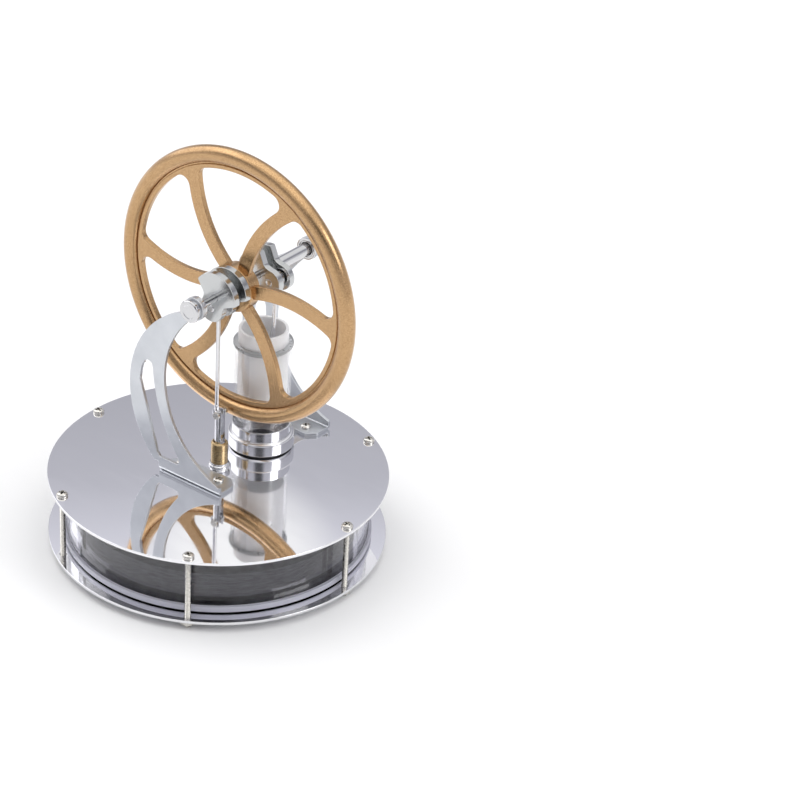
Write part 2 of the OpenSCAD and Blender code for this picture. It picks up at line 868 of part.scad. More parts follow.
// A wire rod from a big end at [x1, z1] to an eye at [x0, z0], in the plane y = y0
module conrod(y0, top, low, hole_r) {
    d = top - low;
    span = norm(d);
    lean = atan2(d[0], d[1]);
    big_r = big_end_d / 2;
    eye_r = eye_d / 2;
    sunk = 0.3;
    difference() {
        union() {
            bar_y(y0 - big_end_t / 2, y0 + big_end_t / 2, big_r, top);
            bar_y(y0 - eye_t / 2, y0 + eye_t / 2, eye_r, low);
            translate([low[0], y0, low[1]])
                rotate([0, lean, 0])
                    translate([0, 0, eye_r - sunk])
                        cylinder(h = span - big_r - eye_r + 2 * sunk, r = wire_r);
        }
        bar_y(y0 - big_end_t, y0 + big_end_t, hole_r, top);
        bar_y(y0 - big_end_t, y0 + big_end_t, fork_screw_d / 2 + run_fit, low);
    }
}

rod_bush_r = pin_r + run_fit + rod_bush_wall;

module rod_bush(y0, at) {
    color("goldenrod")
        ring_y(y0 - big_end_t / 2, y0 + big_end_t / 2, rod_bush_r, pin_r + run_fit, at);
}

module displacer_conrod() {
    color("silver") conrod(0, displacer_pin, [displacer_pin[0], pivot_z], rod_bush_r);
}

module displacer_conrod_bush() {
    rod_bush(0, displacer_pin);
}

module piston_conrod() {
    color("silver") conrod(cylinder_y, piston_pin, [wrist_x, wrist_z], rod_bush_r);
}

module piston_conrod_bush() {
    rod_bush(cylinder_y, piston_pin);
}

// ---------- displacer ----------

washer_r = washer_d / 2;

module displacer_disc() {
    r = ring_bore_r - displacer_gap;
    color("dimgray") translate([0, 0, displacer_z]) difference() {
        cylinder(h = displacer_t, r = r, $fn = 240);
        translate([0, 0, -1]) cylinder(h = displacer_t + 2, r = rod_thread_d / 2);
        translate([0, 0, displacer_t - washer_t]) cylinder(h = 2, r = washer_r);
    }
}

module displacer_washers() {
    color("silver") for (z = [displacer_z - washer_t, displacer_z + displacer_t - washer_t])
        tube_z(z, washer_t, washer_r, rod_thread_d / 2);
}

module displacer_nut() {
    color("silver") translate([0, 0, displacer_z - washer_t - rod_nut_h]) difference() {
        cylinder(h = rod_nut_h, r = clamp_nut_d / 2, $fn = 6);
        translate([0, 0, -1]) cylinder(h = rod_nut_h + 2, r = rod_thread_d / 2);
    }
}

// The rod stands on the upper washer; its top is slotted so that the conrod can swing through
module displacer_rod() {
    z0 = displacer_z + displacer_t;
    past_nut = 0.2;
    low_end = displacer_z - washer_t - rod_nut_h - past_nut;
    top = pivot_z + fork_over_pivot;
    slot_z = pivot_z - 2 * throw - eye_d / 2 - open_gap;
    color("silver") difference() {
        union() {
            translate([0, 0, z0]) cylinder(h = top - z0, r = rod_r);
            translate([0, 0, low_end]) cylinder(h = z0 - low_end + 0.1, r = rod_thread_d / 2);
        }
        translate([-rod_r - 1, -rod_slot / 2, slot_z])
            cube([2 * rod_r + 2, rod_slot, top - slot_z + 1]);
        bar_y(-rod_r - 1, rod_r + 1, fork_screw_d / 2, [0, pivot_z]);
    }
}

// Two halves: the middle of the screw is left out where the conrod passes
module fork_screw() {
    head_t = 0.6;
    flat = rod_r - 0.25;
    color("gainsboro") for (side = [0, 1]) mirror([0, side, 0]) {
        bar_y(rod_slot / 2, flat + 0.1, fork_screw_d / 2, [0, pivot_z]);
        difference() {
            bar_y(flat, rod_r + head_t, fork_head_d / 2, [0, pivot_z]);
            translate([0, 0, pivot_z - fork_head_d]) cylinder(h = 2 * fork_head_d, r = rod_r);
        }
    }
}

// ---------- piston ----------

clevis_gap = eye_t + 2 * open_gap;

module piston() {
    color([0.92, 0.94, 0.96, 0.6]) translate([0, cylinder_y, piston_bottom]) difference() {
        cylinder(h = piston_l, r = piston_r);
        translate([0, 0, piston_floor]) cylinder(h = piston_l, r = piston_inner_r);
    }
}

module piston_clevis() {
    z0 = piston_bottom + piston_floor;
    base_gap = 1.4;
    reach = clevis_gap / 2 + clevis_plate_t + 1;
    color("silver") difference() {
        union() {
            translate([0, cylinder_y, z0]) cylinder(h = clevis_base_h, r = piston_inner_r - base_gap);
            for (side = [0, 1])
                translate([0, cylinder_y, 0]) mirror([0, side, 0])
                    upright(clevis_gap / 2, clevis_plate_t) union() {
                        translate([-clevis_w / 2, z0]) square([clevis_w, wrist_z - z0]);
                        translate([0, wrist_z]) circle(clevis_w / 2);
                    }
        }
        bar_y(cylinder_y - reach, cylinder_y + reach, fork_screw_d / 2, [0, wrist_z]);
    }
}

// Two stubs, one in each clevis plate
module wrist_pin() {
    color("gray") for (side = [0, 1])
        translate([0, cylinder_y, 0]) mirror([0, side, 0])
            bar_y(clevis_gap / 2, clevis_gap / 2 + clevis_plate_t, fork_screw_d / 2, [0, wrist_z]);
}

bottom_plate();
top_plate();
chamber_ring();
lower_gasket();
upper_gasket();
clamp_screws();
clamp_nuts();
guide_bush();
gland_nut();
glass_cylinder();
cylinder_seat();
cylinder_gasket();
front_bracket();
rear_bracket();
bracket_screws();
front_bearing_cup();
rear_bearing_cup();
bearing_outer_races();
bearing_inner_races();
bearing_balls();
front_shaft();
middle_shaft();
rear_shaft();
shaft_spacer();
displacer_crank_front_web();
displacer_crank_rear_web();
displacer_crank_pin();
piston_crank_front_web();
piston_crank_rear_web();
piston_crank_pin();
flywheel();
flywheel_bush();
displacer_conrod();
displacer_conrod_bush();
piston_conrod();
piston_conrod_bush();
displacer_disc();
displacer_washers();
displacer_nut();
displacer_rod();
fork_screw();
piston();
piston_clevis();
wrist_pin();
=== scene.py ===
# %% [markdown]
# # A tabletop Stirling engine
# This lesson finishes a small hot-air engine in Blender. Its working parts were
# drawn as solids, and they arrive here as a fixed frame.
# We model what the eye meets on top of that frame, give every surface its real finish,
# and light it like a small thing on a studio table. All sizes in this file are in
# millimetres, and MM turns them into Blender's metres.
# %% Load the frame
import json
import math

import bpy
from mathutils import Matrix, Vector

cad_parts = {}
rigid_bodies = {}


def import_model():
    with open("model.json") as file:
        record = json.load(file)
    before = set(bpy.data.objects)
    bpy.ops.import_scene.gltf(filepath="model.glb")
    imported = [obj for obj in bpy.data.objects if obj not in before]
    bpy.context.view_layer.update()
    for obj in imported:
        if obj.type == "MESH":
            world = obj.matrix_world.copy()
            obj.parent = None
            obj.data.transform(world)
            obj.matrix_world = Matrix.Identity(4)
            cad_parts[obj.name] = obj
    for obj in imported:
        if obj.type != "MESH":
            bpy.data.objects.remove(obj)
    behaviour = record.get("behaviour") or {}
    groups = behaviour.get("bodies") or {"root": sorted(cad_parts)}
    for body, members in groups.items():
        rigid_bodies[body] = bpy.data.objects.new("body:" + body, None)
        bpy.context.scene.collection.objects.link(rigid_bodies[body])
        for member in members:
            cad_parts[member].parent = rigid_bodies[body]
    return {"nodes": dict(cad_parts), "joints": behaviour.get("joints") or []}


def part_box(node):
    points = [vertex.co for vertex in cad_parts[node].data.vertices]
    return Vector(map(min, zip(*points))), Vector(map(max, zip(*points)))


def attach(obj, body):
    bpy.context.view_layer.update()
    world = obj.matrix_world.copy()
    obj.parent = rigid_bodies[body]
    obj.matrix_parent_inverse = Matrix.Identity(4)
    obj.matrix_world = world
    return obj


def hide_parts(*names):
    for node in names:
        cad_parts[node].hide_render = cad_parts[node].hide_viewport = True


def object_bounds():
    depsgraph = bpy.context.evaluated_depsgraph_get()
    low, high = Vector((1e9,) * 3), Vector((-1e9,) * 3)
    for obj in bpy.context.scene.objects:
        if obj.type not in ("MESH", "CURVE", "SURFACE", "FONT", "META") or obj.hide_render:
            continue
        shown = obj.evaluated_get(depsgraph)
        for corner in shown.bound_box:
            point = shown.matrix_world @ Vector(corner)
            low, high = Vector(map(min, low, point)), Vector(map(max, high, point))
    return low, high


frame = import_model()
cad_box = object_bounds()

MM = 0.001
nodes = frame["nodes"]
joint_at = {j["name"]: Vector(j["pos_m"]) / MM for j in frame["joints"] if "pos_m" in j}
shaft = joint_at["crank_spin"]
print(f"{len(nodes)} solids, shaft {shaft.z:.1f} mm above the table")


def extent(node):
    """The lowest and highest corners of a solid, in millimetres."""
    low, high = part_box(node)
    return low / MM, high / MM


# %% [markdown]
# ## Camera
# The camera comes first, because it decides which details are worth making. A long lens
# a little over half a metre away, looking down at thirty degrees, gives the calm
# perspective of a product picture. We build the camera's axes from three angles instead
# of aiming it at a target, because it is also rolled by a few degrees.
# %% Camera
CAMERA_AT = Vector((0.373266, -0.449621, 0.387400))
TURN, DOWN, ROLL = (math.radians(a) for a in (35.026, 30.361, 3.495))
forward = Vector((
    -math.sin(TURN) * math.cos(DOWN), math.cos(TURN) * math.cos(DOWN), -math.sin(DOWN)
))
level = Vector((math.cos(TURN), math.sin(TURN), 0))
steep = level.cross(forward)
right = math.cos(ROLL) * level + math.sin(ROLL) * steep
up = math.cos(ROLL) * steep - math.sin(ROLL) * level
bpy.ops.object.select_all(action="DESELECT")
bpy.ops.object.camera_add()
camera = bpy.context.object
camera.data.lens = 114.65
camera.data.sensor_width = 36
axes = Matrix((right, up, -forward)).transposed().to_4x4()
camera.matrix_world = Matrix.Translation(CAMERA_AT) @ axes
bpy.context.scene.camera = camera
print(f"camera {(CAMERA_AT - shaft * MM).length:.2f} m from the shaft")

# %% [markdown]
# ## Table and light
# Polished metal shows its surroundings more than itself, so the surroundings are the
# real material of this picture. The sky is a soft ramp: pale at the horizon, darker in a
# band above it and white overhead, which gives the mirror plates their slow shading from
# back to front. A small dark patch behind the camera draws the dark lines that make
# polished rods and rings look like metal. A small white card behind the engine lifts the
# front of the upper plate. It is placed for this camera, and other views barely meet it.
# Three soft boxes add the bright streaks.
# %% Table
bpy.ops.object.select_all(action="DESELECT")
bpy.ops.mesh.primitive_plane_add(size=12, location=(0, 0, cad_box[0].z))
table = bpy.context.object
table.name = "table_top"
paper = bpy.data.materials.new("white_paper")
paper.use_nodes = True
paper_shader = paper.node_tree.nodes["Principled BSDF"]
paper_shader.inputs["Base Color"].default_value = (0.93, 0.93, 0.93, 1)
paper_shader.inputs["Roughness"].default_value = 0.9
paper_shader.inputs["Specular IOR Level"].default_value = 0.1
table.data.materials.append(paper)
print("table at the foot of the screw tails")

# %% Sky
HORIZON, ZENITH = (0.80, 0.80, 0.82, 1), (1, 1, 1, 1)
WHITE_FROM = 0.63
SKY_BANDS = ((0.26, 0.60), (0.34, 0.24), (0.42, 0.38), (0.50, 0.46), (0.535, 0.54), (0.56, 0.76))
BLUE = 1.10
PATCH_EDGE, PATCH_CORE, PATCH_LIGHT = 0.95, 0.99, 0.15
# how far the card's mirror image lies left of and below the camera's axis, as slopes
CARD_LEFT, CARD_LOW = 0.064, 0.068
CARD_EDGE, CARD_CORE = math.radians(2.6), math.radians(0.8)
CARD_WHITE = (1.05, 1.05, 1.05, 1)
sky = bpy.data.worlds.new("studio")
bpy.context.scene.world = sky
sky.use_nodes = True
tree = sky.node_tree
backdrop = tree.nodes["Background"]
direction = tree.nodes.new("ShaderNodeTexCoord")
parts = tree.nodes.new("ShaderNodeSeparateXYZ")
tree.links.new(direction.outputs["Generated"], parts.inputs[0])
height = tree.nodes.new("ShaderNodeValToRGB")
tree.links.new(parts.outputs["Z"], height.inputs["Fac"])
ramp = height.color_ramp
ramp.elements[0].position, ramp.elements[0].color = 0.0, HORIZON
ramp.elements[1].position, ramp.elements[1].color = WHITE_FROM, ZENITH
for place, grey in SKY_BANDS:
    ramp.elements.new(place).color = (grey, grey, grey * BLUE, 1)
towards = tree.nodes.new("ShaderNodeVectorMath")
towards.operation = "DOT_PRODUCT"
towards.inputs[1].default_value = -forward
tree.links.new(direction.outputs["Generated"], towards.inputs[0])
shade = tree.nodes.new("ShaderNodeMapRange")
shade.inputs["From Min"].default_value = PATCH_EDGE
shade.inputs["From Max"].default_value = PATCH_CORE
shade.inputs["To Min"].default_value = 1.0
shade.inputs["To Max"].default_value = PATCH_LIGHT
tree.links.new(towards.outputs["Value"], shade.inputs["Value"])
strength = tree.nodes.new("ShaderNodeMix")
strength.data_type = "RGBA"
strength.blend_type = "MULTIPLY"
strength.inputs["Factor"].default_value = 1.0
tree.links.new(height.outputs["Color"], strength.inputs["A"])
tree.links.new(shade.outputs["Result"], strength.inputs["B"])
card = tree.nodes.new("ShaderNodeVectorMath")
card.operation = "DOT_PRODUCT"
sight = (forward - CARD_LEFT * right - CARD_LOW * up).normalized()
card.inputs[1].default_value = sight.x, sight.y, -sight.z
tree.links.new(direction.outputs["Generated"], card.inputs[0])
glow = tree.nodes.new("ShaderNodeMapRange")
glow.interpolation_type = "SMOOTHSTEP"
glow.inputs["From Min"].default_value = math.cos(CARD_EDGE)
glow.inputs["From Max"].default_value = math.cos(CARD_CORE)
tree.links.new(card.outputs["Value"], glow.inputs["Value"])
lit = tree.nodes.new("ShaderNodeMix")
lit.data_type = "RGBA"
lit.inputs["B"].default_value = CARD_WHITE
tree.links.new(glow.outputs["Result"], lit.inputs["Factor"])
tree.links.new(strength.outputs["Result"], lit.inputs["A"])
tree.links.new(lit.outputs["Result"], backdrop.inputs["Color"])
backdrop.inputs["Strength"].default_value = 1.0
print("sky ramp set")


# %% Soft boxes
def soft_box(name, place, size, power):
    """A square area light that faces the shaft."""
    bpy.ops.object.select_all(action="DESELECT")
    bpy.ops.object.light_add(type="AREA", location=place)
    lamp = bpy.context.object
    lamp.name = name
    lamp.data.size = size
    lamp.data.energy = power
    lamp.rotation_euler = (shaft * MM - Vector(place)).to_track_quat("-Z", "Y").to_euler()
    print(f"{name}: {power} W")


soft_box("overhead_light", (0.0, 0.0, 1.2), 1.2, 3)
soft_box("key_light", (-0.90, -0.15, 0.70), 1.0, 4)
soft_box("fill_light", (0.75, 0.10, 0.55), 0.4, 1.5)
bpy.context.scene.view_settings.view_transform = "Standard"

# %% [markdown]
# ## Modelling tools
# Nearly everything here was turned on a lathe, cut from sheet or bought as a screw, so
# four small tools are enough. `turned` draws half a section vertex by vertex and spins
# it, as a lathe does. `cut_from` copies a flat part of the frame where its outline is
# already exact. `soften` breaks the edges, because a real edge catches a thin line of
# light. `repeated` copies a finished piece to each of its places.
# %% Selection
def only(piece):
    """Selects one piece and nothing else."""
    if bpy.context.object and bpy.context.object.mode != "OBJECT":
        bpy.ops.object.mode_set(mode="OBJECT")
    bpy.ops.object.select_all(action="DESELECT")
    if piece:
        piece.select_set(True)
        bpy.context.view_layer.objects.active = piece


# %% Turning
CLOSE = 1e-7


def drawn(name, points):
    """A chain of edges through points, drawn by extruding one vertex again and again."""
    only(None)
    bpy.ops.mesh.primitive_plane_add(size=MM)
    piece = bpy.context.object
    piece.name = piece.data.name = name
    bpy.ops.object.mode_set(mode="EDIT")
    bpy.ops.mesh.select_all(action="SELECT")
    bpy.ops.mesh.merge(type="CENTER")
    bpy.ops.transform.translate(value=points[0] * MM)
    for here, there in zip(points, points[1:]):
        bpy.ops.mesh.extrude_vertices_move(
            TRANSFORM_OT_translate={"value": (there - here) * MM})
    bpy.ops.mesh.select_all(action="SELECT")
    bpy.ops.mesh.remove_doubles(threshold=CLOSE)
    return piece


def turned(name, outline, centre=(0, 0, 0), along="Z", steps=96):
    """Spins a closed outline of (radius, height) points once round its axis."""
    centre = Vector(centre)
    outward, axis = (Vector((1, 0, 0)), Vector((0, 0, 1)))
    if along == "Y":
        outward, axis = Vector((0, 0, 1)), Vector((0, 1, 0))
    points = [centre + outward * r + axis * h for r, h in [*outline, outline[0]]]
    piece = drawn(name, points)
    bpy.ops.mesh.spin(steps=steps, angle=math.tau, center=centre * MM, axis=axis)
    bpy.ops.mesh.select_all(action="SELECT")
    bpy.ops.mesh.remove_doubles(threshold=CLOSE)
    bpy.ops.mesh.dissolve_degenerate(threshold=CLOSE)
    bpy.ops.mesh.normals_make_consistent(inside=False)
    bpy.ops.object.mode_set(mode="OBJECT")
    return piece


# %% Cutting from the frame
def cut_from(node, name):
    """A merged copy of a solid of the frame, with its flat faces in one piece."""
    only(nodes[node])
    bpy.ops.object.duplicate()
    piece = bpy.context.object
    piece.name = piece.data.name = name
    bpy.ops.object.parent_clear(type="CLEAR_KEEP_TRANSFORM")
    for key in [k for k in piece.keys() if k.startswith("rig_")]:
        del piece[key]
    bpy.ops.mesh.customdata_custom_splitnormals_clear()
    bpy.ops.object.mode_set(mode="EDIT")
    bpy.ops.mesh.select_all(action="SELECT")
    bpy.ops.mesh.remove_doubles(threshold=1e-6)
    bpy.ops.mesh.dissolve_limited(angle_limit=math.radians(0.4))
    bpy.ops.object.mode_set(mode="OBJECT")
    return piece


# %% Softening and repeating
def apply(piece, kind, **settings):
    """Adds a modifier and applies it."""
    only(piece)
    modifier = piece.modifiers.new(kind.lower(), kind)
    for key, value in settings.items():
        setattr(modifier, key, value)
    bpy.ops.object.modifier_apply(modifier=modifier.name)


def soften(piece, width, segments=3):
    """Rounds every sharp edge by a small width, and keeps the flat faces flat."""
    apply(piece, "BEVEL", width=width * MM, segments=segments, limit_method="ANGLE",
          angle_limit=math.radians(32), use_clamp_overlap=False)
    bpy.ops.object.shade_smooth()
    apply(piece, "WEIGHTED_NORMAL")
    return piece


def repeated(piece, places, turns=(0,)):
    """Copies of a piece at each place, turned about Z, as one object."""
    copies = []
    for i, place in enumerate(places):
        only(piece)
        bpy.ops.object.duplicate()
        copies.append(bpy.context.object)
        bpy.ops.object.mode_set(mode="EDIT")
        bpy.ops.mesh.select_all(action="SELECT")
        bpy.ops.transform.rotate(
            value=math.radians(turns[i % len(turns)]), orient_axis="Z", center_override=(0, 0, 0))
        bpy.ops.transform.translate(value=Vector(place) * MM)
        bpy.ops.object.mode_set(mode="OBJECT")
    name = piece.name
    bpy.data.objects.remove(piece)
    return joined(name, copies)


def joined(name, pieces):
    """Several meshes as one object."""
    only(pieces[0])
    for piece in pieces:
        piece.select_set(True)
    bpy.ops.object.join()
    result = bpy.context.object
    result.name = result.data.name = name
    return result


def dress(piece, finish, body, slot, *replaced):
    """Gives a piece its finish, its body and the solids that it stands for."""
    piece.data.materials.clear()
    piece.data.materials.append(finish)
    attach(piece, body)
    if replaced:
        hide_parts(*replaced)
    print(f"{piece.name}: {len(piece.data.polygons)} faces, on {body}")
    return piece


def refinish(piece, finish_used, picks):
    """Gives a second finish to the faces whose middle passes a test, in millimetres."""
    piece.data.materials.append(finish_used)
    for face in piece.data.polygons:
        face.material_index = int(picks(face.center / MM))


# %% [markdown]
# ## Finishes
# Each finish starts from one Principled shader. Anything that is the same all over is
# set on the shader itself. What varies comes from noise on Object coordinates, which are
# metres here, so a scale of 1000 means features about a millimetre across. Stretching the
# noise along one axis turns blotches into brush lines or lathe marks.
# %% Finish tools
def finish(name, colour, metallic, roughness, **sockets):
    """A material with its even values on the shader."""
    made = bpy.data.materials.new(name)
    made.use_nodes = True
    shader = made.node_tree.nodes["Principled BSDF"]
    shader.inputs["Base Color"].default_value = (*colour, 1)
    shader.inputs["Metallic"].default_value = metallic
    shader.inputs["Roughness"].default_value = roughness
    for key, value in sockets.items():
        shader.inputs[key.replace("_", " ")].default_value = value
    return made


def pattern(made, scale, stretch=(1, 1, 1), detail=3, cells=False):
    """Noise, or round cells, on Object coordinates. Gives back the value's socket."""
    tree = made.node_tree
    where = tree.nodes.new("ShaderNodeTexCoord")
    mapping = tree.nodes.new("ShaderNodeMapping")
    mapping.inputs["Scale"].default_value = stretch
    tree.links.new(where.outputs["Object"], mapping.inputs["Vector"])
    texture = tree.nodes.new("ShaderNodeTexVoronoi" if cells else "ShaderNodeTexNoise")
    texture.inputs["Scale"].default_value = scale
    if not cells:
        texture.inputs["Detail"].default_value = detail
    tree.links.new(mapping.outputs["Vector"], texture.inputs["Vector"])
    return texture.outputs["Color" if cells else "Fac"]


NOISE_LOW, NOISE_HIGH = 0.3, 0.7


def vary(made, socket, value, low, high):
    """Drives a socket of the shader between two numbers."""
    tree = made.node_tree
    spread = tree.nodes.new("ShaderNodeMapRange")
    spread.inputs["From Min"].default_value = NOISE_LOW
    spread.inputs["From Max"].default_value = NOISE_HIGH
    spread.inputs["To Min"].default_value = low
    spread.inputs["To Max"].default_value = high
    tree.links.new(value, spread.inputs["Value"])
    tree.links.new(spread.outputs["Result"], tree.nodes["Principled BSDF"].inputs[socket])


def tint(made, value, dark, light):
    """Drives the colour between two tones."""
    tree = made.node_tree
    tones = tree.nodes.new("ShaderNodeValToRGB")
    ends = tones.color_ramp.elements
    ends[0].position, ends[0].color = NOISE_LOW, (*dark, 1)
    ends[1].position, ends[1].color = NOISE_HIGH, (*light, 1)
    tree.links.new(value, tones.inputs["Fac"])
    tree.links.new(tones.outputs["Color"], tree.nodes["Principled BSDF"].inputs["Base Color"])


def emboss(made, value, depth, strength=1.0):
    """Bump from a pattern, with its depth in millimetres."""
    tree = made.node_tree
    bump = tree.nodes.new("ShaderNodeBump")
    bump.inputs["Distance"].default_value = depth * MM
    bump.inputs["Strength"].default_value = strength
    tree.links.new(value, bump.inputs["Height"])
    tree.links.new(bump.outputs["Normal"], tree.nodes["Principled BSDF"].inputs["Normal"])


# %% [markdown]
# The two plates are stainless steel, buffed to a mirror. A perfect mirror looks like a
# hole in the picture, so faint wiping marks vary the roughness.
# %% Mirror plate
mirror = finish("mirror_steel", (0.86, 0.86, 0.88), 1.0, 0.04)
vary(mirror, "Roughness", pattern(mirror, 60, (1, 4, 1)), 0.02, 0.07)
emboss(mirror, pattern(mirror, 45, detail=1), 0.02, 0.25)

# %% [markdown]
# Turned steel carries rings left by the tool. Noise that only changes along the lathe's
# axis gives them, and there is one finish for upright parts and one for the crankshaft.
# %% Turned steel
turned_up = finish("turned_steel_upright", (0.72, 0.72, 0.74), 1.0, 0.14)
vary(turned_up, "Roughness", pattern(turned_up, 900, (0, 0, 1)), 0.10, 0.22)
emboss(turned_up, pattern(turned_up, 5000, (0, 0, 1), detail=1), 0.004, 0.5)
turned_along = finish("turned_steel_shaft", (0.64, 0.64, 0.65), 1.0, 0.12)
vary(turned_along, "Roughness", pattern(turned_along, 1200, (0, 1, 0)), 0.07, 0.20)
emboss(turned_along, pattern(turned_along, 5000, (0, 1, 0), detail=1), 0.004, 0.5)

# %% [markdown]
# The crank webs are ground flat and then tumbled, so they are polished but not a mirror.
# The brackets are bright zinc on bent sheet: pale, bluish and satin, with the faint
# cloudiness of the bath.
# %% Webs, zinc and screws
ground = finish("ground_steel", (0.56, 0.57, 0.57), 1.0, 0.16)
vary(ground, "Roughness", pattern(ground, 700), 0.12, 0.22)
emboss(ground, pattern(ground, 2200, (1, 1, 0.2)), 0.003, 0.3)
zinc = finish("bright_zinc", (0.60, 0.62, 0.65), 1.0, 0.32)
tint(zinc, pattern(zinc, 160), (0.57, 0.59, 0.62), (0.64, 0.66, 0.69))
vary(zinc, "Roughness", pattern(zinc, 900), 0.28, 0.37)
emboss(zinc, pattern(zinc, 2600), 0.005, 0.25)
nickel = finish("nickel_screws", (0.66, 0.64, 0.60), 1.0, 0.22)
vary(nickel, "Roughness", pattern(nickel, 1500), 0.15, 0.32)
emboss(nickel, pattern(nickel, 4000), 0.006, 0.4)
brass = finish("turned_brass", (0.48, 0.35, 0.19), 1.0, 0.28)
tint(brass, pattern(brass, 500, (0, 0, 1)), (0.42, 0.30, 0.16), (0.55, 0.41, 0.23))
vary(brass, "Roughness", pattern(brass, 1500, (0, 0, 1)), 0.22, 0.36)
emboss(brass, pattern(brass, 5000, (0, 0, 1), detail=1), 0.005, 0.5)
aluminium = finish("machined_aluminium", (0.82, 0.82, 0.83), 1.0, 0.25)
vary(aluminium, "Roughness", pattern(aluminium, 1200, (0, 1, 0)), 0.18, 0.32)
emboss(aluminium, pattern(aluminium, 4000, (0, 1, 0)), 0.005, 0.4)

# %% [markdown]
# The flywheel is sprayed with a bronze metallic. Its sparkle is flakes that lie at
# slightly different angles, so small cells each bend the surface a little and shift the
# tone, under a satin clear coat.
# %% Bronze paint
bronze = finish("bronze_metallic", (0.46, 0.28, 0.13), 0.92, 0.24,
                Coat_Weight=0.30, Coat_Roughness=0.18)
tint(bronze, pattern(bronze, 7000, cells=True), (0.42, 0.25, 0.115), (0.60, 0.385, 0.195))
vary(bronze, "Roughness", pattern(bronze, 2500), 0.22, 0.28)
emboss(bronze, pattern(bronze, 7000, cells=True), 0.005, 0.25)

# %% [markdown]
# Clear parts need smooth meshes more than clever shaders. The drawn glass and the
# acrylic ring are clear, with a trace of unevenness, and the piston is ground glass,
# which scatters light and looks milky. A refracting shader dims what stands inside it
# more than real glass does, so three quarters of the tube is left open with Alpha, which
# makes the piston lighter. Where a clear part was cut or ground it turns matt, so the
# ring's foot lip and the tube's lip each have a second finish.
# %% Glass, acrylic and foam
glass = finish("clear_glass", (1, 1, 1), 0.0, 0.01, IOR=1.46, Transmission_Weight=1.0, Alpha=0.25)
vary(glass, "Roughness", pattern(glass, 40), 0.0, 0.02)
acrylic = finish("clear_acrylic", (0.97, 0.97, 1.0), 0.0, 0.02, IOR=1.49, Transmission_Weight=1.0)
vary(acrylic, "Roughness", pattern(acrylic, 60, (1, 1, 3)), 0.01, 0.05)
frosted = finish("ground_glass", (0.97, 0.97, 0.98), 0.0, 0.5, IOR=1.46, Transmission_Weight=0.2)
vary(frosted, "Roughness", pattern(frosted, 800, (1, 1, 0.3)), 0.35, 0.55)
emboss(frosted, pattern(frosted, 4000, (1, 1, 0.4)), 0.01, 0.5)
sawn = finish("sawn_acrylic", (0.74, 0.74, 0.84), 0.0, 0.35, IOR=1.49, Transmission_Weight=0.35)
vary(sawn, "Roughness", pattern(sawn, 900, (1, 1, 4)), 0.28, 0.45)
lip_finish = finish("ground_lip", (0.42, 0.43, 0.44), 0.0, 0.3, IOR=1.46,
                    Transmission_Weight=0.5)
vary(lip_finish, "Roughness", pattern(lip_finish, 900), 0.25, 0.40)
foam = finish("dark_foam", (0.07, 0.07, 0.08), 0.0, 0.9)
tint(foam, pattern(foam, 350, (1, 1, 6)), (0.035, 0.035, 0.044), (0.105, 0.105, 0.120))
emboss(foam, pattern(foam, 1400, (1, 1, 4), cells=True), 0.12, 0.8)
rubber = finish("black_rubber", (0.02, 0.02, 0.022), 0.0, 0.55)
vary(rubber, "Roughness", pattern(rubber, 1500), 0.45, 0.70)
emboss(rubber, pattern(rubber, 3000), 0.02, 0.5)
print(f"{len(bpy.data.materials)} materials so far")

# %% [markdown]
# ## Plates and chamber
# The plates are cut from 0.8 mm sheet, so their outline with its holes comes from the
# frame, and a small round on the rim gives the bright line that runs all the way round.
# %% Plates
for plate in ("bottom_plate", "top_plate"):
    sheet = soften(cut_from(plate, plate + "_sheet"), 0.14)
    dress(sheet, mirror, "frame", "polished_plate", plate)

# %% [markdown]
# The chamber wall is a clear ring with a small foot lip. Half its section is an L, and
# spinning it in many steps keeps the refraction smooth.
# %% Chamber ring
RING_WALL = 2.4
FOOT_OUT, FOOT_H = 1.0, 1.6
low, high = extent("chamber_ring")
foot_r = high.x
wall_r = foot_r - FOOT_OUT
ring = turned("chamber_wall", [
    (wall_r - RING_WALL, low.z), (foot_r, low.z), (foot_r, low.z + FOOT_H),
    (wall_r, low.z + FOOT_H), (wall_r, high.z), (wall_r - RING_WALL, high.z)
], steps=256)
dress(soften(ring, 0.2), acrylic, "frame", "clear_acrylic", "chamber_ring")
LIP_START = 0.1
refinish(ring, sawn, lambda middle: math.hypot(middle.x, middle.y) > wall_r + LIP_START)

# %% [markdown]
# ## Screws
# A small pan-head screw is a domed disc with a cross cut into it. We turn the dome, then
# take a tapered cross away with the Boolean modifier. The thread is one zigzag that the
# Screw modifier winds up the shank, because a real thread is one long groove.
# %% Screw head
def screw_head(name, width, height):
    """A pan head that stands on the origin."""
    r = width / 2
    head = turned(name, [
        (0, 0), (r, 0), (r, height * 0.45), (r * 0.86, height * 0.75),
        (r * 0.55, height * 0.95), (0, height)
    ], steps=40)
    for turn in (0, 90):
        only(None)
        bpy.ops.mesh.primitive_cube_add(size=MM)
        bar = bpy.context.object
        bpy.ops.object.mode_set(mode="EDIT")
        bpy.ops.mesh.select_all(action="SELECT")
        bpy.ops.transform.resize(value=(width * 0.62, width * 0.16, height))
        bpy.ops.transform.translate(value=(0, 0, height * 0.95 * MM))
        bpy.ops.transform.rotate(
            value=math.radians(turn), orient_axis="Z", center_override=(0, 0, 0))
        bpy.ops.object.mode_set(mode="OBJECT")
        apply(head, "BOOLEAN", operation="DIFFERENCE", object=bar, solver="EXACT")
        bpy.data.objects.remove(bar)
    return soften(head, 0.05, 2)


# %% Thread
THREAD_PITCH = 0.35


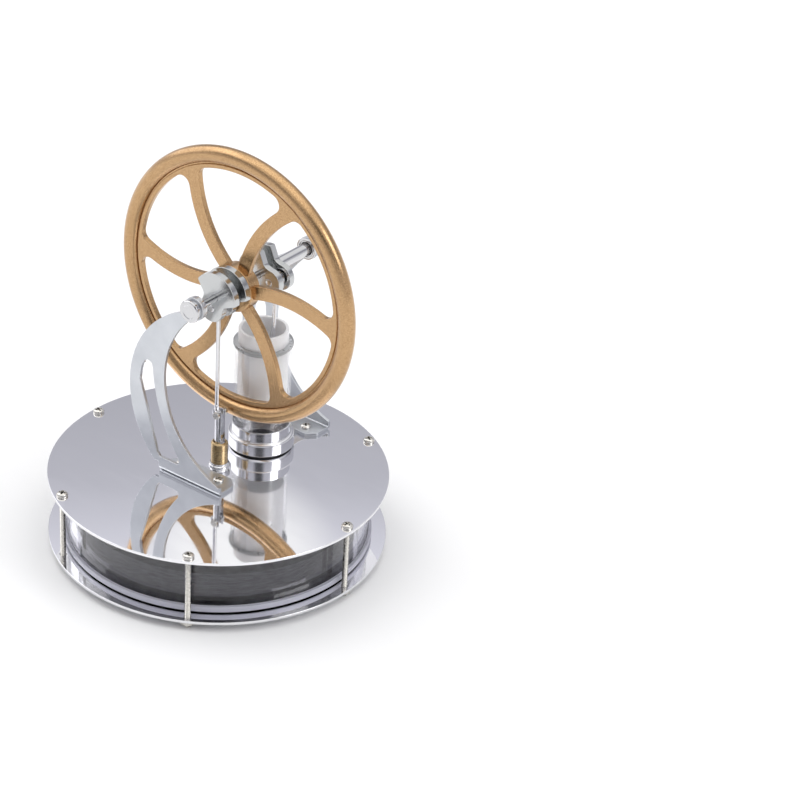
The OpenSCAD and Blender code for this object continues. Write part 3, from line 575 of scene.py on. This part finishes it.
def threaded_shank(name, width, bottom, top):
    """A threaded rod on the Z axis, closed at both ends."""
    r = width / 2
    root = r - 0.2
    turns = round((top - bottom) / THREAD_PITCH)
    thread = drawn(name, [
        Vector((root, 0, bottom)), Vector((r, 0, bottom + THREAD_PITCH / 2)),
        Vector((root, 0, bottom + THREAD_PITCH))
    ])
    bpy.ops.object.mode_set(mode="OBJECT")
    apply(thread, "SCREW", axis="Z", angle=math.tau, screw_offset=THREAD_PITCH * MM,
          iterations=turns - 1, steps=20, render_steps=20, use_merge_vertices=True,
          merge_threshold=1e-6)
    core = turned(name + "_core", [
        (0, bottom - 0.1), (root, bottom - 0.1), (root + 0.03, bottom), (root + 0.03, top),
        (0, top)
    ], steps=24)
    only(thread)
    bpy.ops.object.mode_set(mode="EDIT")
    bpy.ops.mesh.select_all(action="SELECT")
    bpy.ops.mesh.normals_make_consistent(inside=False)
    bpy.ops.object.mode_set(mode="OBJECT")
    rod = joined(name, [thread, core])
    bpy.ops.object.shade_smooth_by_angle(angle=math.radians(40))
    return rod


# %% Clamp screws
CLAMP_HEAD_D, CLAMP_D = 3.1, 1.6
low, high = extent("clamp_screws")
head_z = extent("top_plate")[1].z
clamp_r = high.x - CLAMP_HEAD_D / 2
CLAMP_TURNS = (12, 40, 77, 20, 61, 33)
clamp_places = [
    (clamp_r * math.cos(math.radians(60 * i)), clamp_r * math.sin(math.radians(60 * i)), 0)
    for i in range(6)
]
shank = threaded_shank("clamp_screw_set", CLAMP_D, low.z + 0.1, head_z)
head = screw_head("clamp_head", CLAMP_HEAD_D, high.z - head_z)
head = repeated(head, [(0, 0, head_z)])
screw = joined("clamp_screw_set", [shank, head])
screws = repeated(screw, clamp_places, CLAMP_TURNS)
dress(screws, nickel, "frame", "screw_steel", "clamp_screws")

# %% Nuts
nuts = soften(cut_from("clamp_nuts", "clamp_nut_set"), 0.12)
dress(nuts, nickel, "frame", "screw_steel", "clamp_nuts")

# %% Bracket screws
BRACKET_HEAD_D, BRACKET_SHEET = 2.9, 1.0
low, high = extent("bracket_screws")
foot_top = extent("gland_nut")[0].z + BRACKET_SHEET
xs = (low.x + BRACKET_HEAD_D / 2, high.x - BRACKET_HEAD_D / 2)
ys = (low.y + BRACKET_HEAD_D / 2, high.y - BRACKET_HEAD_D / 2)
head = screw_head("bracket_screw_set", BRACKET_HEAD_D, high.z - foot_top)
heads = repeated(head, [(x, y, foot_top) for x in xs for y in ys], (30, 75, 10, 50))
dress(heads, nickel, "frame", "screw_steel", "bracket_screws")

# %% [markdown]
# ## Displacer gland
# The rod slides in a brass bush, and a chromed nut holds the bush to the plate. Both are
# lathe work: a plain barrel with a chamfered mouth, and a nut with a flange and a rib.
# %% Bush and nut
low, high = extent("guide_bush")
plate_z = extent("gland_nut")[0].z
bush_r = high.x
ROD_HOLE = 1.45
bush = turned("guide_bush_turned", [
    (ROD_HOLE, plate_z), (bush_r, plate_z), (bush_r, high.z - 0.45), (bush_r - 0.45, high.z),
    (ROD_HOLE + 0.3, high.z), (ROD_HOLE, high.z - 0.3)
], steps=64)
dress(soften(bush, 0.08), brass, "frame", "guide_brass", "guide_bush")
low, high = extent("gland_nut")
tall = high.z - low.z
nut_r = high.x
nut = turned("gland_nut_turned", [
    (bush_r, low.z), (nut_r - 0.35, low.z), (nut_r - 0.35, low.z + 0.3 * tall),
    (nut_r, low.z + 0.42 * tall), (nut_r, low.z + 0.72 * tall),
    (nut_r - 0.35, low.z + 0.84 * tall), (bush_r + 0.12, high.z), (bush_r, high.z)
], steps=64)
dress(soften(nut, 0.12), turned_up, "frame", "polished_steel", "gland_nut")

# %% [markdown]
# ## Power cylinder
# A glass tube stands in a polished seat. The tube's ground lip is thicker than its wall,
# and the seat has a broad rounded flange below a thin neck.
# %% Seat
WALL, NECK_WALL, FLANGE_OUT = 0.9, 0.5, 0.95
FLANGE_H, SEAT_FLOOR, PORT_R = 4.2, 1.4, 4.5
low, high = extent("cylinder_seat")
bore_axis = Vector(((low.x + high.x) / 2, (low.y + high.y) / 2, 0))
seat_r = (high.x - low.x) / 2
neck_r = seat_r - FLANGE_OUT
glass_r = neck_r - NECK_WALL
flange_z = low.z + FLANGE_H
ROUND = 0.76
corner = [
    (seat_r - ROUND + ROUND * math.sin(a), flange_z - ROUND + ROUND * math.cos(a))
    for a in [math.radians(90 - 15 * i) for i in range(7)]
]
seat = turned("cylinder_seat_turned", [
    (PORT_R, low.z), (seat_r - 0.5, low.z), (seat_r, low.z + 0.5), *corner,
    (neck_r, flange_z), (neck_r, high.z), (glass_r, high.z), (glass_r, low.z + SEAT_FLOOR),
    (PORT_R, low.z + SEAT_FLOOR)
], bore_axis, steps=128)
dress(soften(seat, 0.1), turned_up, "frame", "polished_steel", "cylinder_seat")

# %% Glass tube
LIP, LIP_H = 0.4, 0.9
low, high = extent("glass_cylinder")
bore_r = glass_r - WALL
tube = turned("glass_tube", [
    (bore_r, low.z), (glass_r, low.z), (glass_r, high.z - LIP_H - LIP),
    (glass_r + LIP, high.z - LIP_H), (glass_r + LIP, high.z), (bore_r, high.z)
], bore_axis, steps=160)
dress(soften(tube, 0.12), glass, "frame", "clear_glass", "glass_cylinder")
refinish(tube, lip_finish, lambda middle: middle.z > high.z - LIP_H - LIP)

# %% [markdown]
# The piston is a cup of ground glass, open at the top, so that the conrod can swing
# inside it. Its rim and floor are fire-rounded.
# %% Piston
PISTON_WALL, PISTON_FLOOR = 0.9, 1.6
low, high = extent("piston")
piston_r = (high.x - low.x) / 2
inner_r = piston_r - PISTON_WALL
cup = turned("piston_cup", [
    (0, low.z), (piston_r, low.z), (piston_r, high.z), (inner_r, high.z),
    (inner_r, low.z + PISTON_FLOOR), (0, low.z + PISTON_FLOOR)
], bore_axis, steps=128)
dress(soften(cup, 0.25), frosted, "piston", "frosted_glass", "piston")

# %% [markdown]
# ## Brackets and bearings
# Each bracket is one strip of sheet, sawn to a C and folded into a foot. The outline
# comes from the frame. What sells it as sheet metal is the fine round on every edge.
# %% Brackets
for bracket in ("front_bracket", "rear_bracket"):
    arm = soften(cut_from(bracket, bracket + "_sheet"), 0.13)
    dress(arm, zinc, "frame", "zinc_sheet", bracket)

# %% Bearing cups
CUP_WALL, CUP_STEP, CUP_FLANGE, CUP_END = 0.35, 0.45, 0.8, 0.6
for cup_name, outside in (("front_bearing_cup", 1), ("rear_bearing_cup", -1)):
    low, high = extent(cup_name)
    cup_l = high.y - low.y
    rim_r = (high.z - low.z) / 2
    race_r = rim_r - CUP_STEP - CUP_WALL
    face = low.y if outside == 1 else high.y
    shape = [
        (0, 0.15), (race_r - 0.5, 0.15), (race_r - 0.35, 0), (rim_r - 0.3, 0), (rim_r, 0.3),
        (rim_r, CUP_FLANGE), (race_r + CUP_WALL, CUP_FLANGE + 0.15),
        (race_r + CUP_WALL, cup_l - CUP_FLANGE), (rim_r, cup_l - CUP_FLANGE), (rim_r, cup_l),
        (race_r, cup_l), (race_r, CUP_END), (0, CUP_END)
    ]
    cup = turned(cup_name + "_turned", [(r, face + outside * h) for r, h in shape],
                 (shaft.x, 0, shaft.z), "Y", 72)
    dress(soften(cup, 0.08), turned_along, "frame", "polished_steel", cup_name)

# %% [markdown]
# ## Crankshaft
# The shaft is built up from three bars and four webs that are pressed together. The webs
# are plates with exact outlines, and a narrow bevel on both sides gives their bright
# double edge. The pins are turned, with a chamfer that leaves a fine ring in each web.
# %% Bars and pins
def bar(node, finish_used, slot, body="crank", chamfer=0.15):
    """Turns a solid round bar along Y to the size of a frame solid."""
    low, high = extent(node)
    r = (high.z - low.z) / 2
    piece = turned(node + "_turned", [
        (0, low.y), (r - chamfer, low.y), (r, low.y + chamfer), (r, high.y - chamfer),
        (r - chamfer, high.y), (0, high.y)
    ], ((low.x + high.x) / 2, 0, (low.z + high.z) / 2), "Y", 40)
    dress(soften(piece, 0.03, 2), finish_used, body, slot, node)


for node in ("front_shaft", "middle_shaft", "rear_shaft", "displacer_crank_pin",
             "piston_crank_pin"):
    bar(node, turned_along, "shaft_steel")

# %% Webs
for node in ("displacer_crank_front_web", "displacer_crank_rear_web",
             "piston_crank_front_web", "piston_crank_rear_web"):
    web = soften(cut_from(node, node + "_plate"), 0.16)
    dress(web, ground, "crank", "polished_steel", node)

# %% Sleeve
SHAFT_R = 1.0
low, high = extent("shaft_spacer")
sleeve_r = (high.z - low.z) / 2
sleeve = turned("shaft_sleeve", [
    (SHAFT_R, low.y), (sleeve_r, low.y), (sleeve_r, high.y), (SHAFT_R, high.y)
], (shaft.x, 0, shaft.z), "Y", 56)
dress(soften(sleeve, 0.15), turned_along, "crank", "aluminium", "shaft_spacer")

# %% [markdown]
# ## Flywheel
# The wheel has three parts in one casting. The spoked plate is the frame's own front
# face, kept on its own and extruded back. The rim is a round bead with a thin tongue, and
# the plate stops just short of the bead, which leaves the fine groove that runs inside
# the rim. The hub is a turned boss.
# %% Spoked plate
BEAD_R, PLATE_T, GROOVE_R, HUB_IN = 2.3, 1.6, 33.80, 6.2
OUTLINE_REACH, HUB_REACH = 0.3, 6.8
low, high = extent("flywheel")
wheel = Vector((shaft.x, (low.y + high.y) / 2, shaft.z))
wheel_r = (high.x - low.x) / 2
plate = cut_from("flywheel", "flywheel_spokes")
front_y = (wheel.y - PLATE_T / 2) * MM
bpy.ops.object.mode_set(mode="EDIT")
bpy.ops.mesh.select_mode(type="FACE")
bpy.ops.mesh.select_all(action="DESELECT")
bpy.ops.object.mode_set(mode="OBJECT")
for face in plate.data.polygons:
    face.select = face.normal.y < -0.99 and abs(face.center.y - front_y) < 0.02 * MM
bpy.ops.object.mode_set(mode="EDIT")
bpy.ops.mesh.select_all(action="INVERT")
bpy.ops.mesh.delete(type="FACE")
bpy.ops.object.mode_set(mode="OBJECT")


def scale_ring(piece, inner, outer, target):
    """Scales the vertices between two radii of the wheel so that they lie at a third."""
    picked = []
    for vertex in piece.data.vertices:
        offset = vertex.co / MM - wheel
        r = math.hypot(offset.x, offset.z)
        vertex.select = inner < r < outer
        if vertex.select:
            picked.append(r)
    k = target / (sum(picked) / len(picked))
    bpy.ops.object.mode_set(mode="EDIT")
    bpy.ops.mesh.select_mode(type="VERT")
    bpy.ops.transform.resize(value=(k, 1, k), center_override=wheel * MM)
    bpy.ops.object.mode_set(mode="OBJECT")
    return len(picked)


def unselect_all(piece):
    """Clears the selection of a mesh's own vertices, edges and faces."""
    bpy.ops.object.mode_set(mode="EDIT")
    bpy.ops.mesh.select_all(action="DESELECT")
    bpy.ops.object.mode_set(mode="OBJECT")


unselect_all(plate)
rim_points = scale_ring(
    plate, wheel_r - 2 * BEAD_R - OUTLINE_REACH, wheel_r, GROOVE_R)
unselect_all(plate)
hub_points = scale_ring(plate, 0, HUB_REACH, HUB_IN)
bpy.ops.object.mode_set(mode="EDIT")
bpy.ops.mesh.select_all(action="SELECT")
bpy.ops.mesh.extrude_region_move(TRANSFORM_OT_translate={"value": (0, PLATE_T * MM, 0)})
bpy.ops.mesh.select_all(action="SELECT")
bpy.ops.mesh.normals_make_consistent(inside=False)
bpy.ops.object.mode_set(mode="OBJECT")
soften(plate, 0.22)
print(f"{rim_points} points on the rim and {hub_points} at the hub")

# %% Rim and hub
TONGUE, TONGUE_IN = 0.4, 33.3
bead_c = wheel_r - BEAD_R
tuck = math.asin(TONGUE / BEAD_R)
arc = [math.pi + tuck + (math.tau - 2 * tuck) * i / 40 for i in range(41)]
bead = [(bead_c + BEAD_R * math.cos(a), BEAD_R * math.sin(a)) for a in arc]
rim = turned("flywheel_rim", [*bead, (TONGUE_IN, TONGUE), (TONGUE_IN, -TONGUE)], wheel, "Y", 256)
only(rim)
bpy.ops.object.shade_smooth_by_angle(angle=math.radians(30))
HUB_R, HUB_HALF, HUB_BORE = 6.5, 2.0, 2.5
hub = turned("flywheel_hub", [
    (HUB_BORE, -HUB_HALF), (HUB_R, -HUB_HALF), (HUB_R, HUB_HALF), (HUB_BORE, HUB_HALF)
], wheel, "Y", 96)
soften(hub, 0.3)
flywheel = joined("flywheel_casting", [plate, rim, hub])
dress(flywheel, bronze, "crank", "bronze_paint", "flywheel")

# %% Hub bush
low, high = extent("flywheel_bush")
bush = turned("flywheel_bush_turned", [
    (SHAFT_R, low.y), (HUB_BORE, low.y), (HUB_BORE, high.y), (SHAFT_R, high.y)
], (shaft.x, 0, shaft.z), "Y", 56)
dress(soften(bush, 0.1), brass, "crank", "guide_brass", "flywheel_bush")

# %% [markdown]
# ## Conrods and fork
# A conrod is a straight wire between a round big end and a small eye. The displacer rod
# ends in a fork, slotted from bar, and a cross screw with two small heads holds the eye.
# %% Conrods
BIG_R, BIG_T, EYE_R, EYE_T, WIRE_R = 2.3, 1.6, 1.2, 1.0, 0.55
PIN_BUSH_R, EYE_HOLE = 1.45, 0.5
SUNK, FERRULE_PROUD, SHOULDER = 0.3, 0.1, 0.3


def conrod(node, name, body, joint):
    """A wire rod from its crank pin down to its eye."""
    low, high = extent(node)
    pin = joint_at[joint]
    foot = [v.co.x / MM for v in nodes[node].data.vertices if v.co.z / MM < low.z + 2 * EYE_R]
    eye = Vector(((min(foot) + max(foot)) / 2, pin.y, low.z + EYE_R))
    big = turned(name + "_big", [
        (PIN_BUSH_R, -BIG_T / 2), (BIG_R, -BIG_T / 2), (BIG_R, BIG_T / 2),
        (PIN_BUSH_R, BIG_T / 2)], pin, "Y", 48)
    small = turned(name + "_eye", [
        (EYE_HOLE, -EYE_T / 2), (EYE_R, -EYE_T / 2), (EYE_R, EYE_T / 2),
        (EYE_HOLE, EYE_T / 2)], eye, "Y", 40)
    span = (pin - eye).length
    wire = turned(name + "_wire", [
        (0, EYE_R - SUNK), (WIRE_R + FERRULE_PROUD, EYE_R - SUNK),
        (WIRE_R + FERRULE_PROUD, EYE_R + 1.2), (WIRE_R, EYE_R + 1.6),
        (WIRE_R, span - BIG_R - 1.4), (WIRE_R + SHOULDER, span - BIG_R - 1.0),
        (WIRE_R + SHOULDER, span - BIG_R + SUNK), (0, span - BIG_R + SUNK)
    ], eye, "Z", 32)
    only(wire)
    bpy.ops.object.mode_set(mode="EDIT")
    bpy.ops.mesh.select_all(action="SELECT")
    tilt = math.atan2(pin.x - eye.x, pin.z - eye.z)
    print(f"{name}: leans {math.degrees(tilt):.2f} degrees")
    bpy.ops.transform.rotate(value=-tilt, orient_axis="Y", center_override=eye * MM)
    bpy.ops.object.mode_set(mode="OBJECT")
    for part in (big, small, wire):
        soften(part, 0.08, 2)
    dress(joined(name, [big, small, wire]), turned_up, body, "shaft_steel", node)


conrod("displacer_conrod", "displacer_conrod_wire", "displacer_link", "displacer_link_swing")
conrod("piston_conrod", "piston_conrod_wire", "piston_link", "piston_link_swing")

# %% Fork
rod = soften(cut_from("displacer_rod", "displacer_rod_fork"), 0.07, 2)
dress(rod, turned_up, "displacer", "shaft_steel", "displacer_rod")
fork_heads = soften(cut_from("fork_screw", "fork_screw_heads"), 0.10, 3)
dress(fork_heads, nickel, "displacer", "screw_steel", "fork_screw")

# %% [markdown]
# ## Parts that stay as drawn
# The foam, the gaskets, the bearings and the small parts inside the piston are mostly
# hidden, and their shapes are right already. They keep their solids and only get a finish.
# %% Finishes for the frame's own solids
kept = {
    "lower_gasket": rubber, "upper_gasket": rubber, "cylinder_gasket": rubber,
    "displacer_disc": foam, "displacer_washers": nickel, "displacer_nut": nickel,
    "bearing_outer_races": turned_along, "bearing_inner_races": turned_along,
    "bearing_balls": turned_along, "displacer_conrod_bush": brass,
    "piston_conrod_bush": brass, "piston_clevis": aluminium, "wrist_pin": turned_along
}
for node, finish_used in kept.items():
    for place in nodes[node].material_slots:
        place.material = finish_used
print(f"{len(kept)} solids keep their shape")
